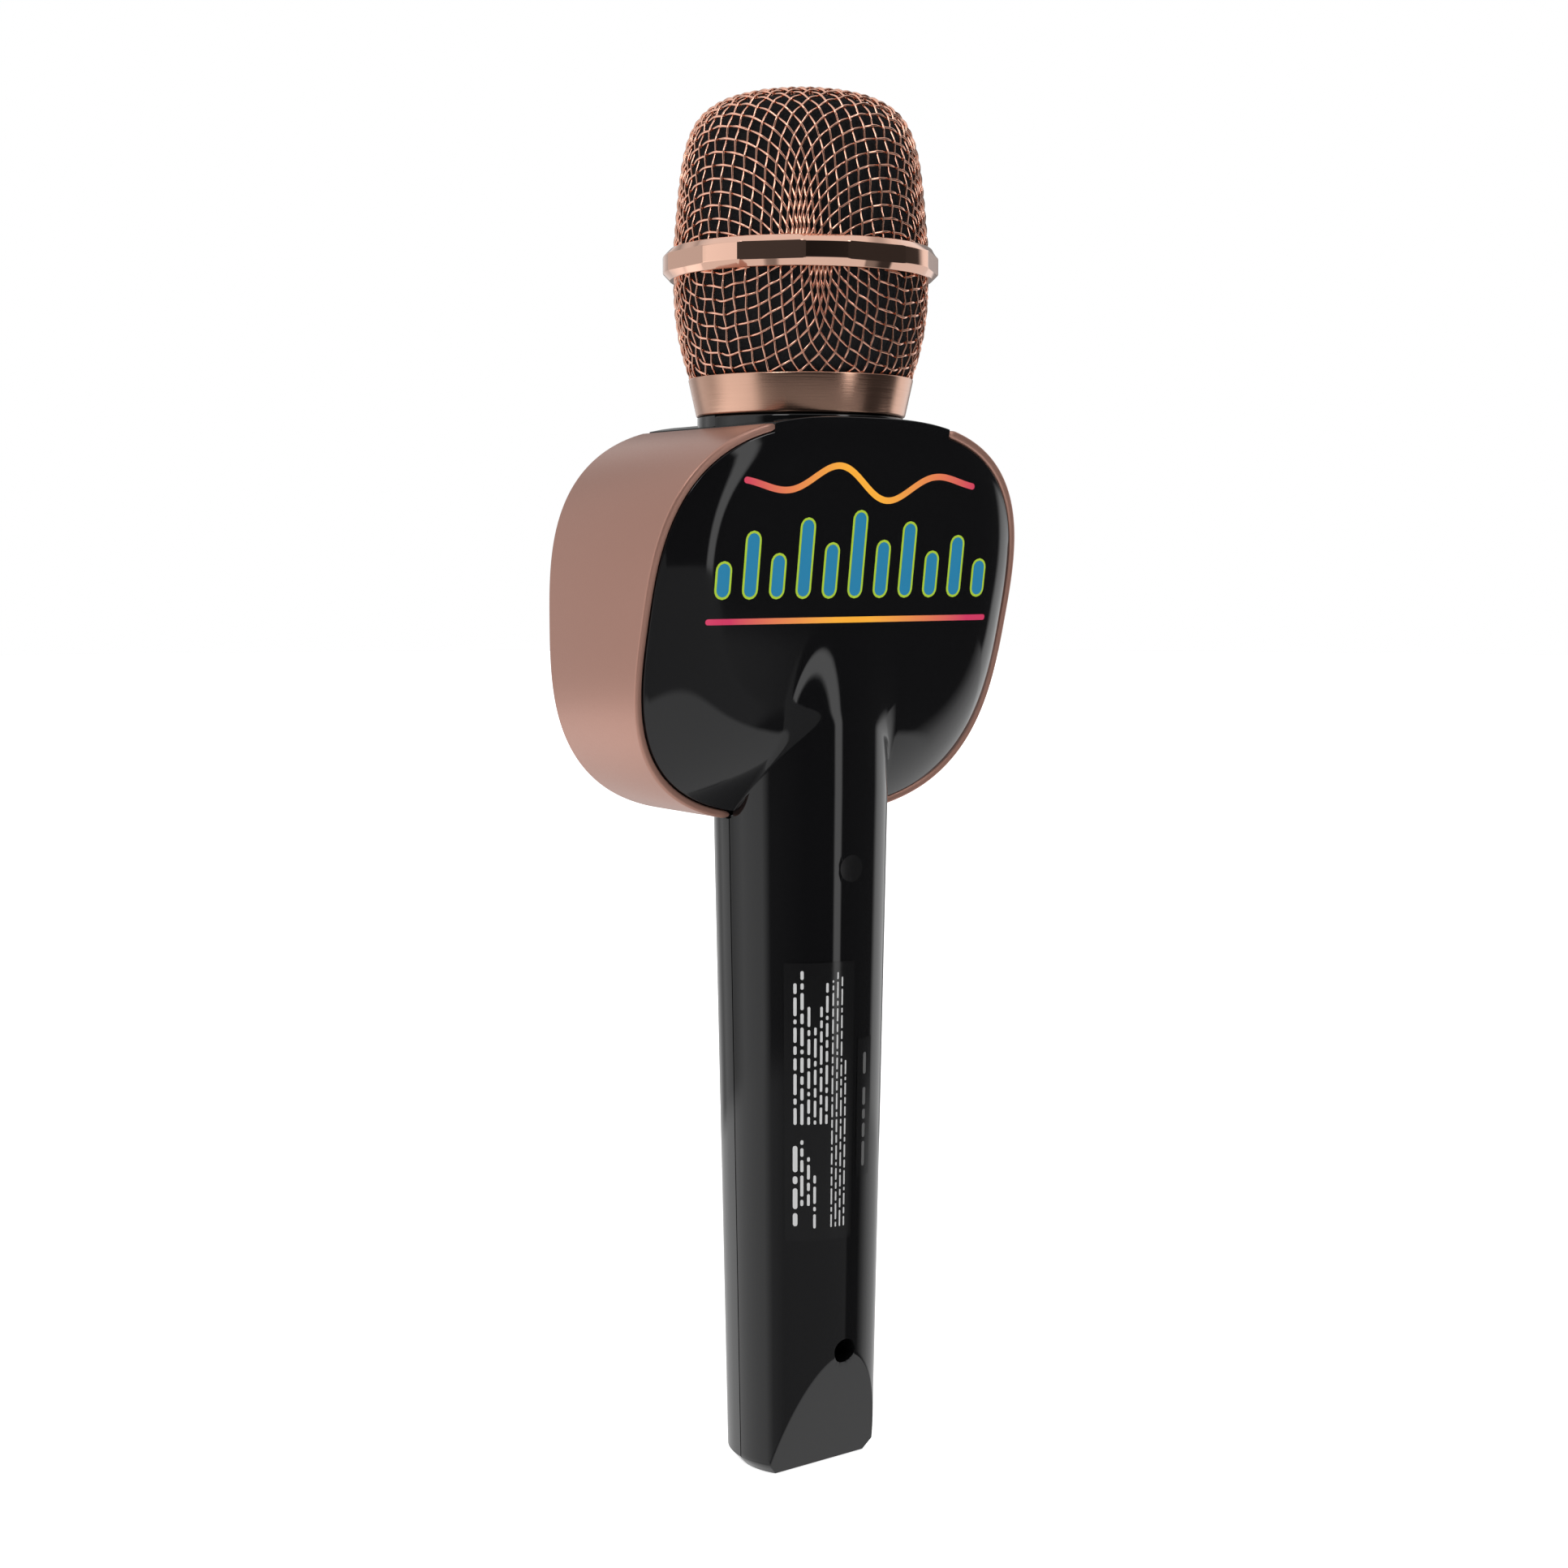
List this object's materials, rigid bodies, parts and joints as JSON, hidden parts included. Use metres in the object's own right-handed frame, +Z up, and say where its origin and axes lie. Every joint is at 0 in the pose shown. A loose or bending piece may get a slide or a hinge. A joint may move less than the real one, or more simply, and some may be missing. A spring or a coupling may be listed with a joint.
{
  "type": "karaoke microphone",
  "caption": "Handheld wireless karaoke microphone with a woven copper mesh head, a rounded speaker housing with satin side bands, a gloss black handle and front controls.",
  "frame": {"origin": "on the handle's axis at its flat bottom end", "axes": "+Z up the handle towards the mesh head, speaker and controls face -Y, plain rear cover faces +Y, +X to the right seen from the front"},
  "size_m": [0.0864, 0.0518, 0.267],
  "materials": {
    "copper_mesh": "rose gold plated woven wire, satin bright",
    "polished_copper": "rose gold plate, polished",
    "brushed_copper": "rose gold plate, brushed round the axis",
    "black_foam": "open cell foam, black",
    "black_matte": "fine moulded matte",
    "black_gloss": "high gloss piano black moulding",
    "panel_black": "gloss black plate",
    "plug_black": "gloss black plug",
    "black_rubber": "soft matte rubber",
    "button_rubber": "silk matte rubber caps",
    "rose_gold_satin": "satin rose gold paint with fine metal flake",
    "rose_gold_plastic": "rose gold plated plastic",
    "capsule_metal": "turned, satin",
    "steel": "zinc plated",
    "frame_steel": "black painted pressed steel",
    "screw_steel": "black zinc screws",
    "grille_black": "black painted perforated steel",
    "cone_paper": "black doped paper, matte",
    "spider_cloth": "resin treated cloth, corrugated",
    "copper_wire": "enamelled copper winding",
    "ferrite": "sintered ferrite, dark grey",
    "board_green": "green solder mask",
    "module_metal": "tinned shield can",
    "battery_sleeve": "blue shrink sleeve",
    "wire_insulation": "soft wire insulation",
    "clear_plastic": "clear moulded light pipe",
    "label_film": "thin clear film over black, blank"
  },
  "bodies": {
    "microphone_body": {"neck_thread_insert": "black_matte", "capsule_holder": "black_matte", "capsule_cradle": "black_rubber", "capsule_body": "capsule_metal", "capsule_grille": "steel", "capsule_leads": "wire_insulation", "rear_shell": "black_gloss", "front_shell": "black_gloss", "side_band_left": "rose_gold_satin", "side_band_right": "rose_gold_satin", "speaker_grille": "grille_black", "grille_trim_ring": "polished_copper", "speaker_gasket": "black_foam", "speaker_frame": "frame_steel", "speaker_surround": "black_rubber", "speaker_spider": "spider_cloth", "speaker_top_plate": "steel", "speaker_magnet": "ferrite", "speaker_yoke": "steel", "speaker_terminals": "board_green", "speaker_leads": "wire_insulation", "speaker_screws": "screw_steel", "control_panel": "panel_black", "slide_switch": "steel", "tact_switches": "black_matte", "status_light_pipes": "clear_plastic", "indicator_leds": "clear_plastic", "main_board": "board_green", "bluetooth_module": "module_metal", "amplifier_chip": "black_matte", "battery_cell": "battery_sleeve", "battery_pad": "black_foam", "battery_leads": "wire_insulation", "usb_socket": "steel", "headphone_socket": "black_matte", "handle_screws": "screw_steel", "screw_plug": "plug_black", "rating_label": "label_film", "serial_label": "label_film"},
    "head": {"upper_mesh_basket": "copper_mesh", "lower_mesh_basket": "copper_mesh", "mesh_joint_ring": "polished_copper", "head_collar": "brushed_copper", "windscreen_foam": "black_foam"},
    "speaker_diaphragm": {"speaker_cone": "cone_paper", "dust_cap": "cone_paper", "voice_coil": "copper_wire"},
    "volume_up_cap": {"volume_up_button": "button_rubber"},
    "play_cap": {"play_button": "rose_gold_plastic"},
    "volume_down_cap": {"volume_down_button": "button_rubber"},
    "previous_cap": {"previous_button": "button_rubber"},
    "next_cap": {"next_button": "button_rubber"},
    "echo_cap": {"echo_button": "button_rubber"},
    "voice_cap": {"voice_button": "button_rubber"},
    "duet_cap": {"duet_button": "button_rubber"},
    "power_knob": {"power_slider": "rose_gold_plastic"}
  },
  "joints": [
    {"name": "head_lift", "type": "slide", "parent": "microphone_body", "child": "head", "axis": [0, 0, 1], "range_m": [0, 0.05]},
    {"name": "speaker_stroke", "type": "slide", "parent": "microphone_body", "child": "speaker_diaphragm", "axis": [0, 1, 0], "range_m": [-0.0009, 0.0009], "stiffness_N_per_m": 900, "deforming": ["speaker_surround", "speaker_spider"]},
    {"name": "volume_up_press", "type": "slide", "parent": "microphone_body", "child": "volume_up_cap", "axis": [0, 1, 0], "range_m": [0, 0.0004], "stiffness_N_per_m": 2000, "springref_m": -0.0003},
    {"name": "play_press", "type": "slide", "parent": "microphone_body", "child": "play_cap", "axis": [0, 1, 0], "range_m": [0, 0.0004], "stiffness_N_per_m": 2000, "springref_m": -0.0003},
    {"name": "volume_down_press", "type": "slide", "parent": "microphone_body", "child": "volume_down_cap", "axis": [0, 1, 0], "range_m": [0, 0.0004], "stiffness_N_per_m": 2000, "springref_m": -0.0003},
    {"name": "previous_press", "type": "slide", "parent": "microphone_body", "child": "previous_cap", "axis": [0, 1, 0], "range_m": [0, 0.0004], "stiffness_N_per_m": 2000, "springref_m": -0.0003},
    {"name": "next_press", "type": "slide", "parent": "microphone_body", "child": "next_cap", "axis": [0, 1, 0], "range_m": [0, 0.0004], "stiffness_N_per_m": 2000, "springref_m": -0.0003},
    {"name": "echo_press", "type": "slide", "parent": "microphone_body", "child": "echo_cap", "axis": [0, 1, 0], "range_m": [0, 0.0004], "stiffness_N_per_m": 2000, "springref_m": -0.0003},
    {"name": "voice_press", "type": "slide", "parent": "microphone_body", "child": "voice_cap", "axis": [0, 1, 0], "range_m": [0, 0.0004], "stiffness_N_per_m": 2000, "springref_m": -0.0003},
    {"name": "duet_press", "type": "slide", "parent": "microphone_body", "child": "duet_cap", "axis": [0, 1, 0], "range_m": [0, 0.0004], "stiffness_N_per_m": 2000, "springref_m": -0.0003},
    {"name": "power_slide", "type": "slide", "parent": "microphone_body", "child": "power_knob", "axis": [0, 0, 1], "range_m": [0, 0.0025]}
  ]
}
